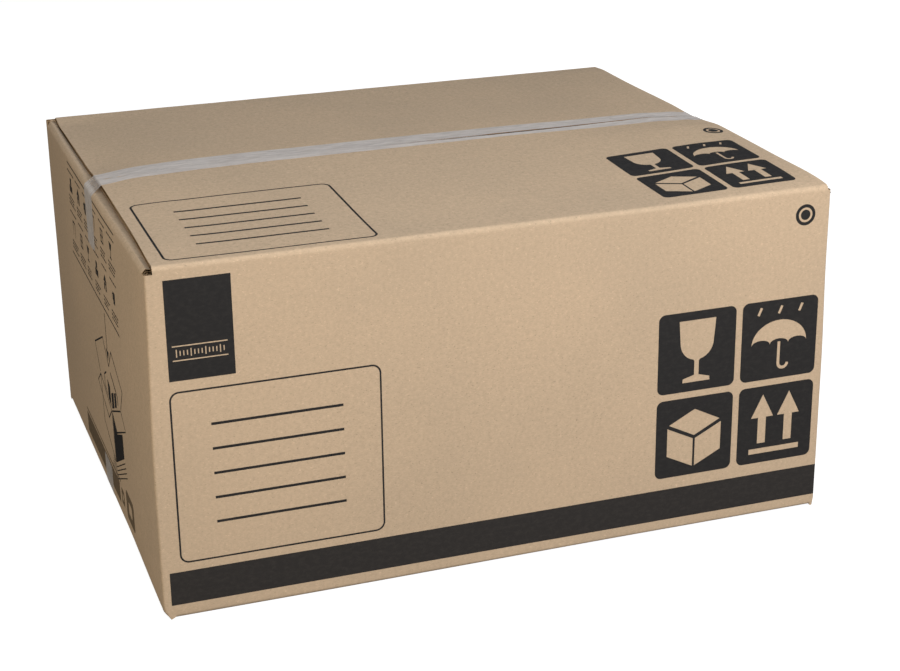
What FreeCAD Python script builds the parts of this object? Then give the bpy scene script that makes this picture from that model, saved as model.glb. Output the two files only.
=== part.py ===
import FreeCAD
import Part
import math
import os

# A closed moving carton: one sheet of corrugated board, scored, slotted, folded and glued
# into a box. Its long flaps meet at a middle seam, top and bottom, under strips of tape.
# X runs along the box, Y from front to back, Z up from the floor. Millimetres.

# Carton, measured outside
carton_length = 600.0
carton_width = 500.0
carton_height = 305.0
short_flap_depth = 250.0

# Corrugated board: two liners, and how far the open flutes run in from a cut edge
board = 4.0
liner = 0.6
open_flute_depth = 3.0

# Folds, as inside radii. A score across the flutes rolls wider than a corner crease.
long_fold_inside = 1.5
short_fold_inside = 1.5
corner_fold_inside = 1.0

# How the carton closes: the long top flaps butt together and bow up to a low ridge
ridge_rise = 6.2
flap_lap_gap = 0.3
seam_gap = 1.5

# Slots between neighbouring flaps end above the corner creases
slot_width = 12.0
slot_end_drop = 4.5

# Glued lap joint at the back right corner
glue_tab_width = 35.0
glue_tab_setback = 6.0
glue_tab_taper = 12.0
joint_edge_setback = 1.5

# Packing tape, on a thin bed of adhesive
tape_width = 38.0
tape_thickness = 0.1
adhesive = 0.05
top_tape_offset = 4.0
top_tape_leg = 48.0
bottom_tape_offset = 8.0
bottom_tape_leg = 26.0

# Directions
along_x = FreeCAD.Vector(1, 0, 0)
along_y = FreeCAD.Vector(0, 1, 0)
along_z = FreeCAD.Vector(0, 0, 1)
middle = FreeCAD.Vector(0, 0, 0)

# Outside radii of the folds
long_fold = long_fold_inside + board
short_fold = short_fold_inside + board
corner_fold = corner_fold_inside + board

# Wall faces, and the outer faces of the long flaps and of the short flaps under them
end_x = carton_length / 2
side_y = carton_width / 2
long_floor_z = adhesive + tape_thickness
long_top_z = carton_height
short_floor_z = long_floor_z + board + flap_lap_gap
short_top_z = long_top_z - board - flap_lap_gap

# The flaps stop at the slots, which are centred on the corner creases
flap_end_x = end_x - board / 2 - slot_width / 2
flap_end_y = side_y - board / 2 - slot_width / 2

# All four walls are flat between these heights
wall_low_z = max(long_floor_z + long_fold, short_floor_z + short_fold)
wall_high_z = min(long_top_z - long_fold, short_top_z - short_fold)
corner_top_z = carton_height - slot_end_drop

# Each long top flap leaves its fold level and bows upwards, as one arc that ends at the seam
ridge_run = side_y - long_fold - seam_gap / 2
ridge_angle = 2 * math.atan(ridge_rise / ridge_run)
ridge_bow = ridge_run / math.sin(ridge_angle)


class FoldedSection:
    """A folded sheet seen edge on. Its reference skin is walked leg by leg, always with the
    inside of the box on the right. A fold or crease turns right, and a bow turns left."""

    def __init__(self, plane, start, heading_deg, near_depth, far_depth):
        self.axis_u, self.axis_v, self.plane_at = plane
        self.u, self.v = start
        self.heading = math.radians(heading_deg)
        self.depths = (near_depth, far_depth)
        self.skins = ([], [])
        self.corners = (None, None)

    def inward(self, heading):
        return math.sin(heading), -math.cos(heading)

    def point(self, u, v, heading, depth):
        in_u, in_v = self.inward(heading)
        flat = self.axis_u * (u + in_u * depth) + self.axis_v * (v + in_v * depth)
        return flat + self.plane_at

    def straight(self, length):
        end_u = self.u + math.cos(self.heading) * length
        end_v = self.v + math.sin(self.heading) * length
        for skin, depth, corner in zip(self.skins, self.depths, self.corners):
            start = corner or self.point(self.u, self.v, self.heading, depth)
            skin.append([start, self.point(end_u, end_v, self.heading, depth)])
        self.u, self.v = end_u, end_v
        self.corners = (None, None)
        return self

    def fold(self, degrees, radius):
        in_u, in_v = self.inward(self.heading)
        centre_u = self.u + in_u * radius
        centre_v = self.v + in_v * radius
        turn = math.radians(degrees)
        stops = (self.heading, self.heading - turn / 2, self.heading - turn)
        for skin, depth in zip(self.skins, self.depths):
            if radius != depth:
                arc = [self.point(centre_u, centre_v, at, depth - radius) for at in stops]
                skin.append(arc)
        self.heading -= turn
        in_u, in_v = self.inward(self.heading)
        self.u = centre_u - in_u * radius
        self.v = centre_v - in_v * radius
        return self

    def bow(self, degrees, radius):
        return self.fold(-degrees, -radius)

    def crease(self, degrees):
        """A sharp turn between two straight legs, where both skins are mitred."""
        half_turn = math.radians(degrees) / 2
        reach = [depth / math.cos(half_turn) for depth in self.depths]
        at = self.heading - half_turn
        self.corners = [self.point(self.u, self.v, at, depth) for depth in reach]
        for skin, corner in zip(self.skins, self.corners):
            skin[-1][-1] = corner
        self.heading -= 2 * half_turn
        return self

    def wire(self):
        near, far = self.skins
        start_cap = [far[0][0], near[0][0]]
        end_cap = [near[-1][-1], far[-1][-1]]
        edges = []
        for leg in near + [end_cap] + far[::-1] + [start_cap]:
            curve = Part.LineSegment(*leg) if len(leg) == 2 else Part.Arc(*leg)
            edges.append(curve.toShape())
        return Part.Wire(Part.__sortEdges__(edges))

    def extrude(self, along):
        return Part.Face(self.wire()).extrude(along)


def box_between(low, high):
    size = [top - bottom for bottom, top in zip(low, high)]
    return Part.makeBox(*size, FreeCAD.Vector(*low))


# One length of board: both long flaps of a side and the wall between them

def long_strip_section(at_x, near_depth, far_depth):
    plane = (along_y, along_z, along_x * at_x)
    start = (-seam_gap / 2, long_floor_z)
    section = FoldedSection(plane, start, 180, near_depth, far_depth)
    section.straight(side_y - seam_gap / 2 - long_fold)
    section.fold(90, long_fold)
    section.straight(long_top_z - long_floor_z - 2 * long_fold)
    section.fold(90, long_fold)
    section.bow(math.degrees(ridge_angle), ridge_bow)
    return section


def short_strip_section(at_y, near_depth, far_depth):
    plane = (along_x, along_z, along_y * at_y)
    start = (short_flap_depth - end_x, short_floor_z)
    section = FoldedSection(plane, start, 180, near_depth, far_depth)
    section.straight(short_flap_depth - short_fold)
    section.fold(90, short_fold)
    section.straight(short_top_z - short_floor_z - 2 * short_fold)
    section.fold(90, short_fold)
    section.straight(short_flap_depth - short_fold)
    return section


def strip(section_at, half_length, along):
    """Extrude a strip and open the flutes along its two side cuts."""
    body = section_at(-half_length, 0, board).extrude(along * 2 * half_length)
    for flute_from in (-half_length, half_length - open_flute_depth):
        flutes = section_at(flute_from, liner, board - liner)
        body = body.cut(flutes.extrude(along * open_flute_depth))
    return body


def flap_strips():
    front = strip(long_strip_section, flap_end_x, along_x)
    back = front.mirror(middle, along_y)
    left = strip(short_strip_section, flap_end_y, along_y)
    right = left.mirror(middle, along_x)
    return [front, back, left, right]


# The ring of four walls with its corner creases

def wall_ring(low_z, high_z):
    """Four walls from the raw edge of the right wall round to the crease of the glue tab."""
    plane = (along_x, along_y, along_z * low_z)
    start = (end_x, side_y - joint_edge_setback)
    ring = FoldedSection(plane, start, 270, 0, board)
    ring.straight(2 * side_y - joint_edge_setback - corner_fold)
    ring.fold(90, corner_fold)
    ring.straight(2 * end_x - 2 * corner_fold)
    ring.fold(90, corner_fold)
    ring.straight(2 * side_y - 2 * corner_fold)
    ring.fold(90, corner_fold)
    ring.straight(2 * end_x - board - 2 * corner_fold)
    return ring.extrude(along_z * (high_z - low_z))


def tab_crease(low_z, high_z):
    plane = (along_x, along_y, along_z * low_z)
    start = (end_x - board - corner_fold, side_y)
    crease = FoldedSection(plane, start, 0, 0, board).fold(90, corner_fold)
    return crease.extrude(along_z * (high_z - low_z))


def glue_tab():
    """The tab inside the right wall, with its ends cut back and tapered."""
    crease_y = side_y - corner_fold
    edge_y = side_y - glue_tab_width
    low_z = wall_low_z + glue_tab_setback
    high_z = wall_high_z - glue_tab_setback
    outline = (
        (crease_y, low_z),
        (edge_y, low_z + glue_tab_taper),
        (edge_y, high_z - glue_tab_taper),
        (crease_y, high_z),
        (crease_y, low_z),
    )
    face_x = end_x - board
    corners = [FreeCAD.Vector(face_x, y, z) for y, z in outline]
    return Part.Face(Part.makePolygon(corners)).extrude(along_x * -board)


def corner_zones():
    """The four columns of space that the slots leave between neighbouring flaps."""
    zones = []
    for way_x in (-1, 1):
        for way_y in (-1, 1):
            xs = sorted((way_x * flap_end_x, way_x * end_x))
            ys = sorted((way_y * flap_end_y, way_y * side_y))
            zones.append(box_between((xs[0], ys[0], 0), (xs[1], ys[1], corner_top_z)))
    return Part.makeCompound(zones)


def carton():
    walls = [wall_ring(wall_low_z, wall_high_z), tab_crease(wall_low_z, wall_high_z)]
    full_corners = wall_ring(0, corner_top_z).fuse(tab_crease(0, corner_top_z))
    corner_posts = full_corners.common(corner_zones())
    pieces = walls[1:] + [corner_posts, glue_tab()] + flap_strips()
    folded = walls[0].multiFuse(pieces).removeSplitter()
    return folded.Solids[0] if len(folded.Solids) == 1 else folded


# A strip of tape runs along a seam, over the flap ends and down both end walls

def top_flap_z(at_y):
    run = side_y - long_fold - abs(at_y)
    return long_top_z + ridge_bow - math.sqrt(ridge_bow ** 2 - run ** 2)


def tape_section(at_y, leg_start, heading_deg, leg, step):
    """The tape leaves the rolled fold on a tangent and bridges the step up to the flap end."""
    plane = (along_x, along_z, along_y * at_y)
    inset = end_x - flap_end_x - short_fold
    rise = step + short_fold
    reach = math.hypot(inset, rise)
    bridge_deg = math.degrees(math.atan2(rise, inset) - math.asin(short_fold / reach))
    bridge = math.sqrt(reach ** 2 - short_fold ** 2)
    skins = (-adhesive - tape_thickness, -adhesive)
    section = FoldedSection(plane, leg_start, heading_deg, *skins)
    section.straight(leg)
    section.fold(90 - bridge_deg, short_fold)
    section.straight(bridge)
    section.crease(bridge_deg)
    section.straight(2 * flap_end_x)
    section.crease(bridge_deg)
    section.straight(bridge)
    section.fold(90 - bridge_deg, short_fold)
    section.straight(leg)
    return section


def tape_over_ridge():
    leg_start = (-end_x, short_top_z - short_fold - top_tape_leg)
    sections = []
    front_y = top_tape_offset - tape_width / 2
    for at_y in (front_y, 0, front_y + tape_width):
        step = top_flap_z(at_y) - short_top_z
        sections.append(tape_section(at_y, leg_start, 90, top_tape_leg, step).wire())
    return Part.makeLoft(sections, True, True)


def tape_under_floor():
    leg_start = (end_x, short_floor_z + short_fold + bottom_tape_leg)
    step = short_floor_z - long_floor_z
    front_y = bottom_tape_offset - tape_width / 2
    section = tape_section(front_y, leg_start, 270, bottom_tape_leg, step)
    return section.extrude(along_y * tape_width)


def write_parts():
    os.makedirs("parts", exist_ok=True)
    nodes = {
        "carton": carton(),
        "top_tape": tape_over_ridge(),
        "bottom_tape": tape_under_floor(),
    }
    for name, shape in nodes.items():
        shape.exportStep(os.path.join("parts", name + ".step"))
        box = shape.BoundBox
        print(
            f"{name}: valid {shape.isValid()}, solids {len(shape.Solids)}, "
            f"volume {shape.Volume:.1f} mm3, x {box.XMin:.2f} to {box.XMax:.2f}, "
            f"y {box.YMin:.2f} to {box.YMax:.2f}, z {box.ZMin:.2f} to {box.ZMax:.2f}"
        )


write_parts()
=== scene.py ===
import math

import bmesh
import bpy
from mathutils import Matrix, Vector, noise


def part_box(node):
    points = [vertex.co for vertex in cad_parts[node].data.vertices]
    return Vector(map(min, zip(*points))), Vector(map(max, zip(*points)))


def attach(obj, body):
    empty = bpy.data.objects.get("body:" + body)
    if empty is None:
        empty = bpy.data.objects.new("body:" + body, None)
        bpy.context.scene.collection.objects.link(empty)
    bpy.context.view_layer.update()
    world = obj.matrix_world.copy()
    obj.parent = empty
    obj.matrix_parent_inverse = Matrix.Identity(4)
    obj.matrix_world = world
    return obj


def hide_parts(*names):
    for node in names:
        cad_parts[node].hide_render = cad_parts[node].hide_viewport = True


# A closed moving carton of kraft board, taped along its middle seam. Metres, +Z up.

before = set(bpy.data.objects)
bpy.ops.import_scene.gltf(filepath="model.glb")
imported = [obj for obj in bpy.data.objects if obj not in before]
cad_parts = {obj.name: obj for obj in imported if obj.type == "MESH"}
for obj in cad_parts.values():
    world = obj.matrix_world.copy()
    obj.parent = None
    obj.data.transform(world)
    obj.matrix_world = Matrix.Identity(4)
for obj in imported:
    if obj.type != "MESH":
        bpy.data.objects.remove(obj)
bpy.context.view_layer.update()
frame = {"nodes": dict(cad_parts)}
cartonHigh = Vector(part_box("carton")[1])
tapeLow = Vector(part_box("top_tape")[0])
floorTapeLow, floorTapeHigh = [Vector(corner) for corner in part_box("bottom_tape")]
print("frame loaded:", ", ".join(frame["nodes"]))

carton = {
    "halfLength": cartonHigh.x,
    "halfWidth": cartonHigh.y,
    "foldHeight": 0.305,       # tops of the long folds; the ridge stands above them
    "ridgeHeight": cartonHigh.z,
    "board": 0.004,
    "liner": 0.0005,
    "openFlute": 0.0028,       # how far a cut edge is open between its liners
    "longFold": 0.0042,        # outer radii; the board is crushed thinner in a tight fold
    "shortFold": 0.0038,
    "cornerFold": 0.0022,
    "leastInside": 0.0002,     # the inner radius that a crushed fold keeps
    "lapGap": 0.0003,
    "underside": 0.00015,      # long floor flaps, above the floor
    # folds to the cut end of each slot
    "slotDrops": {"left": 0.0060, "front": 0.0030, "back": 0.0022, "joint": 0.0040},
    "shortCut": 0.008,         # wall face to a short flap's side cut
    # wall face to a long flap's side cut, at its fold and towards the seam
    "longCuts": {"frontLeft": (0.0080, 0.0096), "frontRight": (0.0045, 0.0080),
                 "backLeft": (0.0094, 0.0096), "backRight": (0.0063, 0.0080)},
    "cutSlant": 0.10,          # the run over which those cuts slant
    "shortFlap": 0.250,        # its free edge, from the wall's face
    "jointSetback": 0.0015,    # the right wall's raw edge stops short of the back corner
    "tabWidth": 0.035,         # the glue tab under it, its ends cut at a taper
    "tabTaper": 0.012,
    "tabSteps": 4,
    "glueLine": 0.0001,
    "bow": 0.0006,             # how far the walls bulge
    "uneven": (0.00016, 14),   # the board's unevenness: height, waves per metre
    "crinkle": (0.00028, 45),  # and the same for its rolled folds
    "step": 0.0076,            # faces of the board, and their number round each fold
    "foldSteps": {"long": 12, "short": 10, "corner": 8},
}

halfLength = carton["halfLength"]
halfWidth = carton["halfWidth"]
foldHeight = carton["foldHeight"]
board = carton["board"]
wallLow = carton["underside"] + board + carton["lapGap"] + carton["shortFold"]
wallHigh = foldHeight - board - carton["lapGap"] - carton["shortFold"]
wallSteps = round((wallHigh - wallLow) / carton["step"])
hair = 1e-6                    # slack where heights are compared


def clamp(value):
    return max(0.0, min(1.0, value))


def smooth(value):
    value = clamp(value)
    return value * value * (3 - 2 * value)


def grown(value, span):
    # 0 to 1 over a span given by its start and its run
    return smooth((value - span[0]) / span[1])


def between(marks, x):
    # an even curve through (x, value) marks
    if x <= marks[0][0]:
        return marks[0][1]
    for (x0, low), (x1, high) in zip(marks, marks[1:]):
        if x <= x1:
            return low + (high - low) * smooth((x - x0) / (x1 - x0))
    return marks[-1][1]


# The closed top: the long flaps bow up to the seam, but the tape holds both ends of the
# seam down, and the flaps' outer corners curl a little

ridgeRise = carton["ridgeHeight"] - foldHeight
closedTop = {
    "ridge": ((-0.292, 0.32), (-0.245, 0.77), (-0.194, 0.90), (-0.123, 0.97), (0.0, 1.0),
              (0.236, 0.98), (0.270, 0.68), (0.292, 0.29)),
    "bend": 0.120,             # the flap bends over this run from its fold, then lies straight
    "frontCurl": ((-0.292, 0.0008), (-0.220, 0.0), (0.110, 0.0), (0.294, 0.0056)),
    "backCurl": ((-0.292, -0.0030), (-0.210, 0.0), (0.150, 0.0), (0.292, 0.0018)),
    "sprung": 0.0075,          # the front fold itself is already a little raised
    "frontSpring": 0.032,      # runs over which the curls grow from the folds
    "backSpring": 0.030,
    "held": 0.75,              # the share of a curl that the tape takes out near the seam
    "heldFrom": (0.190, 0.052),
}


def flapLift(x, y):
    # how far the long top flaps stand above the level of their folds
    run = halfWidth - carton["longFold"]
    t = run - abs(y)
    bend = closedTop["bend"]
    bowed = 0.0
    if t > 0:
        bowed = (t * t / (2 * bend) if t < bend else t - bend / 2) / (run - bend / 2)
    curl = between(closedTop["frontCurl" if y < 0 else "backCurl"], x)
    if y < 0:
        curl *= 1 - math.exp(-(t + closedTop["sprung"]) / closedTop["frontSpring"])
    else:
        curl *= smooth((t + carton["longFold"]) / closedTop["backSpring"])
    curl *= 1 - closedTop["held"] * grown(t, closedTop["heldFrom"])
    return ridgeRise * between(closedTop["ridge"], x) * bowed + curl


def topFlapZ(x, y):
    return foldHeight + flapLift(x, y)


def topFlapFacing(x, y):
    nudge = 0.002
    slopeX = (flapLift(x + nudge, y) - flapLift(x - nudge, y)) / (2 * nudge)
    inner, outer = (y + nudge, y - nudge) if y < 0 else (y - nudge, y + nudge)
    slopeY = (flapLift(x, inner) - flapLift(x, outer)) / (inner - outer)
    return Vector((-slopeX, -slopeY, 1)).normalized()


def relief(place, facing):
    # how far the real board stands off its nominal face; the underside stays flat
    wallness = 1 - abs(facing.z)
    alongLength = abs(facing.y) > abs(facing.x)
    along = place.x / halfLength if alongLength else place.y / halfWidth
    rise = clamp(place.z / foldHeight)
    off = carton["bow"] * wallness * math.cos(along * math.pi / 2) * math.sin(rise * math.pi)
    height, waves = carton["uneven"]
    off += height * noise.noise(place * waves)
    height, waves = carton["crinkle"]
    rolled = 2 * abs(facing.z) * math.hypot(facing.x, facing.y)
    off += height * rolled * noise.noise(place * waves)
    return off * (1 + min(0.0, facing.z)) ** 2


# The near corners are pushed along X, over spans given by their start and run: the left one
# out towards its foot and in at its top, the right one in at its top, and both in at their feet

pushed = {
    "leftOut": -0.0021,        # distances along X
    "leftIn": 0.00125,
    "rightIn": -0.0017,
    "leftCrush": 0.0032,
    "rightCrush": -0.0014,
    "near": (0.06, 0.19),      # spans: towards the front, and at the two end walls
    "leftWall": (0.2945, 0.003),
    "rightWall": (0.2965, 0.003),
    "outBelow": (-0.265, 0.15),    # down from this height, and up from the two after it
    "leftAbove": (0.18, 0.13),
    "rightAbove": (0.13, 0.12),
    "foot": 0.010,             # the height that the feet are crushed over
    "inPost": (0.242, 0.006),  # they are crushed only past the wall's cut and round the crease
    "leftPost": (0.292, 0.008),
    "rightPost": (0.2955, 0.0045),
}


def cornerPush(place):
    x, y, z = place
    near = grown(-y, pushed["near"])
    left = grown(-x, pushed["leftWall"]) * near
    right = grown(x, pushed["rightWall"]) * near
    aboveFoot = smooth(z / pushed["foot"])
    push = pushed["rightIn"] * right * grown(z, pushed["rightAbove"])
    push += pushed["leftIn"] * left * grown(z, pushed["leftAbove"])
    push += pushed["leftOut"] * left * grown(-z, pushed["outBelow"]) * aboveFoot
    for side, key in ((-x, "left"), (x, "right")):
        start, run = pushed[key + "Post"]
        crush = pushed[key + "Crush"] * clamp((side - start) / run)
        push += crush * grown(-y, pushed["inPost"]) * (1 - aboveFoot)
    return Vector((push, 0, 0))


def settled(place, facing):
    return place + facing * relief(place, facing) + cornerPush(place)


# The short top folds stand up beside the tape, which presses them down, and dip behind

shoulder = {
    "rise": 0.0012,
    "uneven": (0.4, 9),        # share, waves per metre
    "backRise": (0.0008, (0.17, 0.06)),
    "crest": 0.0040,           # in from the wall's face, and how wide the roll is either side
    "outside": 0.0022,
    "inside": 0.0036,
    "dip": 0.0004,             # how far the flap lies under the long one from behind the roll
    "behind": (0.0055, 0.003),
    "pressed": (0.004, 0.045), # where the tape presses: its middle and reach along the fold
}


def shoulderLift(inward, x, y):
    middle, half = shoulder["pressed"]
    free = 1 - math.exp(-((y - middle) / half) ** 2)
    crest = shoulder["crest"]
    roll = math.exp(-((inward - crest) / shoulder["outside" if inward < crest else "inside"]) ** 2)
    share, waves = shoulder["uneven"]
    uneven = 1 + share * noise.noise(Vector((3.1, y * waves, 0.7)))
    backRise, atBack = shoulder["backRise"]
    high = shoulder["rise"] * free * uneven + backRise * grown(y, atBack)
    return high * roll - grown(inward, shoulder["behind"]) * (shoulder["dip"] - min(0.0, flapLift(x, y)))


# The feet hold the long floor folds a little off the floor, more so towards the right

floorFold = {
    "lift": 0.0004,
    "rightLift": 0.0014,
    "rightwards": (-0.2, 0.35),
    "reach": 0.12,             # how far in from the fold the flap is lifted
}


def floorLift(inward, x):
    lift = floorFold["lift"] + floorFold["rightLift"] * grown(x, floorFold["rightwards"])
    return lift * smooth(1 - inward / floorFold["reach"])


# Walking a board seen edge on: outer skin points and their outward facings, folds turning left

def walkBoard(start, headingDeg, legs):
    a, b = start
    heading = math.radians(headingDeg)
    stations = [(a, b, heading, board)]
    for leg in legs:
        if leg[0] == "run":
            steps = max(1, leg[2])
            for _ in range(steps):
                a += math.cos(heading) * leg[1] / steps
                b += math.sin(heading) * leg[1] / steps
                stations.append((a, b, heading, board))
        else:
            turn, radius, steps = math.radians(leg[1]), leg[2], leg[3]
            crushed = min(board, radius - carton["leastInside"])
            stations[-1] = stations[-1][:3] + (crushed,)
            centreA = a - math.sin(heading) * radius
            centreB = b + math.cos(heading) * radius
            for _ in range(steps):
                heading += turn / steps
                a = centreA + math.sin(heading) * radius
                b = centreB - math.cos(heading) * radius
                stations.append((a, b, heading, crushed))
    return stations


def stepsFor(length):
    return max(1, round(length / carton["step"]))


def openEdges(faces):
    # the edges with a face on one side only
    directed = set()
    for face in faces:
        directed.update(zip(face, face[1:] + face[:1]))
    return [(a, b) for a, b in sorted(directed) if (b, a) not in directed]


class Board:
    # a sheet of board: outer skin points with their facings, paired with an inner skin

    def __init__(self):
        self.index = {}
        self.outer = []
        self.facing = []
        self.across = []
        self.thick = []
        self.faces = []

    def point(self, place, facing, across, thick):
        key = tuple(round(value, 5) for value in place)
        if key not in self.index:
            self.index[key] = len(self.outer)
            self.outer.append(settled(place, facing))
            self.facing.append(facing)
            self.across.append(across)
            self.thick.append(thick)
        at = self.index[key]
        self.thick[at] = min(self.thick[at], thick)
        return at

    def patch(self, rows):
        rows = [[self.point(*cell) for cell in row] for row in rows]
        for low, high in zip(rows, rows[1:]):
            for i in range(len(low) - 1):
                self.faces.append((low[i], low[i + 1], high[i + 1], high[i]))

    def insets(self, edges):
        # in-sheet direction from each edge vertex into the board, mitred at corners
        found = {}
        for a, b in edges:
            along = (self.outer[b] - self.outer[a]).normalized()
            for end in (a, b):
                found.setdefault(end, []).append(self.facing[end].cross(along).normalized())
        mitred = {}
        for end, (first, second) in found.items():
            spread = 1 + first.dot(second)
            turnsBack = spread <= 0.2
            mitred[end] = Vector((0, 0, 0)) if turnsBack else (first + second) / spread
        return mitred


# each wall: the middle of its outer face, the way along it, the way out, half its length
walls = {
    "front": (Vector((0, -halfWidth, 0)), Vector((1, 0, 0)), Vector((0, -1, 0)), halfLength),
    "right": (Vector((halfLength, 0, 0)), Vector((0, 1, 0)), Vector((1, 0, 0)), halfWidth),
    "back": (Vector((0, halfWidth, 0)), Vector((-1, 0, 0)), Vector((0, 1, 0)), halfLength),
    "left": (Vector((-halfLength, 0, 0)), Vector((0, -1, 0)), Vector((-1, 0, 0)), halfWidth),
}

seam = {
    "closed": 0.00015,         # half the gap where the flaps touch
    "parted": 0.0023,          # and where they part
    "parts": (-0.06, 0.16),
    "nears": (0.24, 0.05),     # they come half way back towards the right end
    "flare": 0.028,            # how far from the seam a flap gives
}


def seamHalfGap(x):
    parted = grown(x, seam["parts"]) * (1 - 0.5 * grown(x, seam["nears"]))
    return seam["closed"] + (seam["parted"] - seam["closed"]) * parted


def longStations():
    # floor flap, wall, top flap; a is outward from the wall's outer face
    fold = carton["longFold"]
    reach = halfWidth - fold - seam["parted"]
    flap = ("run", reach, stepsFor(reach))
    turn = ("fold", 90, fold, carton["foldSteps"]["long"])
    wall = [
        ("run", wallLow - carton["underside"] - fold, 1),
        ("run", wallHigh - wallLow, wallSteps),
        ("run", foldHeight - fold - wallHigh, 1),
    ]
    return walkBoard((-reach - fold, carton["underside"]), 0, [flap, turn] + wall + [turn, flap])


def shortStations():
    fold = carton["shortFold"]
    reach = carton["shortFlap"] - fold
    flap = ("run", reach, stepsFor(reach))
    turn = ("fold", 90, fold, carton["foldSteps"]["short"])
    wall = ("run", wallHigh - wallLow, wallSteps)
    return walkBoard((-carton["shortFlap"], wallLow - fold), 0, [flap, turn, wall, turn, flap])


def stripRows(name, stations, firstCut, lastCut):
    # a strip of floor flap, wall and top flap; its side cuts slant from the folds to the free edges
    middle, along, out, half = walls[name]
    steps = stepsFor(2 * half)
    isLong = name in ("front", "back")
    rows = []
    for a, z, heading, thick in stations:
        row = []
        slant = smooth(-a / carton["cutSlant"])
        firstU = firstCut[0] + (firstCut[1] - firstCut[0]) * slant - half
        lastU = half - lastCut[0] - (lastCut[1] - lastCut[0]) * slant
        for i in range(steps + 1):
            place = middle + along * (firstU + (lastU - firstU) * i / steps) + out * a
            place.z = z
            facing = out * math.sin(heading) - Vector((0, 0, math.cos(heading)))
            if isLong and z > foldHeight - carton["longFold"] + hair:
                place.z += flapLift(place.x, place.y)
            if isLong and z < wallLow - hair:
                place.z += floorLift(-a, place.x) * (1 - z / wallLow)
            if not isLong and z > wallHigh + hair:
                place.z += shoulderLift(-a, place.x, place.y)
            if isLong and z > foldHeight - hair:
                facing = topFlapFacing(place.x, place.y)
                gives = smooth(1 - (abs(place.y) - seam["parted"]) / seam["flare"])
                place.y -= math.copysign((seam["parted"] - seamHalfGap(place.x)) * gives, place.y)
            row.append((place, facing, along, thick))
        rows.append(row)
    return rows


# The creased posts at the corners, past the end of each wall: how high the foot of the crease
# stands, and the rise of the cut from it to the slots before and after

feet = {
    "front": (0.00135, 0.0004, 0.0050),
    "back": (0.00425, 0.0, 0.0),
    "left": (0.00005, 0.0050, 0.0026),
    "curve": 1.2,
    "row": 0.0066,             # the first row of faces ends at this height
}


def postHeights(name):
    heights = [wallLow + (wallHigh - wallLow) * i / wallSteps for i in range(wallSteps + 1)]
    return [0.0, feet["row"]] + heights + [foldHeight - carton["slotDrops"][name]]


def planRows(stations, heights):
    rows = []
    for z in heights:
        row = []
        for x, y, heading, thick in stations:
            facing = Vector((math.sin(heading), -math.cos(heading), 0))
            across = Vector((math.cos(heading), math.sin(heading), 0))
            row.append((Vector((x, y, z)), facing, across, thick))
        rows.append(row)
    return rows


def foldBlank():
    sheet = Board()
    cuts = carton["longCuts"]
    short = carton["shortCut"]
    square = (short, short)
    radius = carton["cornerFold"]
    crease = ("fold", 90, radius, carton["foldSteps"]["corner"])
    tabFace = halfLength - board - carton["glueLine"]
    tabCut = (halfLength - tabFace + radius, cuts["backRight"][1])
    sheet.patch(stripRows("front", longStations(), cuts["frontLeft"], cuts["frontRight"]))
    sheet.patch(stripRows("right", shortStations(), square, square))
    sheet.patch(stripRows("back", longStations(), tabCut, cuts["backLeft"]))
    sheet.patch(stripRows("left", shortStations(), square, square))
    # each post runs from the cut before its crease to the cut after it
    posts = {
        "front": (cuts["frontRight"][0], short),
        "back": (cuts["backLeft"][0], short),
        "left": (short, cuts["frontLeft"][0]),
    }
    for name, (before, after) in posts.items():
        middle, along, _, half = walls[name]
        start = middle + along * (half - before)
        headingDeg = math.degrees(math.atan2(along.y, along.x))
        legs = [("run", before - radius, 2), crease, ("run", after - radius, 2)]
        rows = planRows(walkBoard((start.x, start.y), headingDeg, legs), postHeights(name))
        foot, riseBefore, riseAfter = feet[name]
        half = len(rows[0]) // 2
        apex = rows[0][half][0].copy()
        for i, (place, _, _, _) in enumerate(rows[0]):
            width, rise = (before, riseBefore) if i < half else (after, riseAfter)
            place.z = foot + rise * min(1.0, (place - apex).length / width) ** feet["curve"]
        sheet.patch(rows)
    rawEdge = short - carton["jointSetback"]    # the right wall's raw edge, over the glue tab
    heights = postHeights("joint")
    sheet.patch(planRows(walkBoard((halfLength, halfWidth - short), 90, [("run", rawEdge, 1)]), heights))
    sheet.patch(planRows(walkBoard((tabFace, halfWidth - radius), 90, [crease]), heights))
    tabSteps = carton["tabSteps"]
    tabRun = ("run", carton["tabWidth"] - radius, tabSteps)
    columns = walkBoard((tabFace, halfWidth - carton["tabWidth"]), 90, [tabRun])
    rows = planRows(columns, heights[3:-2])     # set back from both folds
    middleZ = (wallLow + wallHigh) / 2
    tabHalf = rows[-1][0][0].z - middleZ
    for row in rows:
        for i, (place, _, _, _) in enumerate(row):
            cut = carton["tabTaper"] * (1 - i / tabSteps) / tabHalf
            place.z = middleZ + (place.z - middleZ) * (1 - cut)
    sheet.patch(rows)
    return sheet


def showMesh(name, verts, faces, materials, faceSlots=None, sharpDeg=38):
    mesh = bpy.data.meshes.new(name)
    mesh.from_pydata([tuple(vert) for vert in verts], [], faces)
    for material in materials:
        mesh.materials.append(material)
    mesh.update()
    if faceSlots:
        mesh.polygons.foreach_set("material_index", faceSlots)
    mesh.polygons.foreach_set("use_smooth", [True] * len(mesh.polygons))
    mesh.set_sharp_from_angle(angle=math.radians(sharpDeg))
    mesh.validate()
    piece = bpy.data.objects.new(name, mesh)
    bpy.context.scene.collection.objects.link(piece)
    return piece


# Materials, and the nodes that they and the world are made of

def feed(owner, socket, value):
    # a socket takes a link or a plain value
    if isinstance(value, bpy.types.NodeSocket):
        owner.node_tree.links.new(value, socket)
    else:
        socket.default_value = value


def addNode(owner, kind, **inputs):
    made = owner.node_tree.nodes.new(kind)
    for name, value in inputs.items():
        feed(owner, made.inputs[name.replace("_", " ")], value)
    return made


def cleared(owner):
    owner.use_nodes = True
    owner.node_tree.nodes.clear()
    return owner


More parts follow.
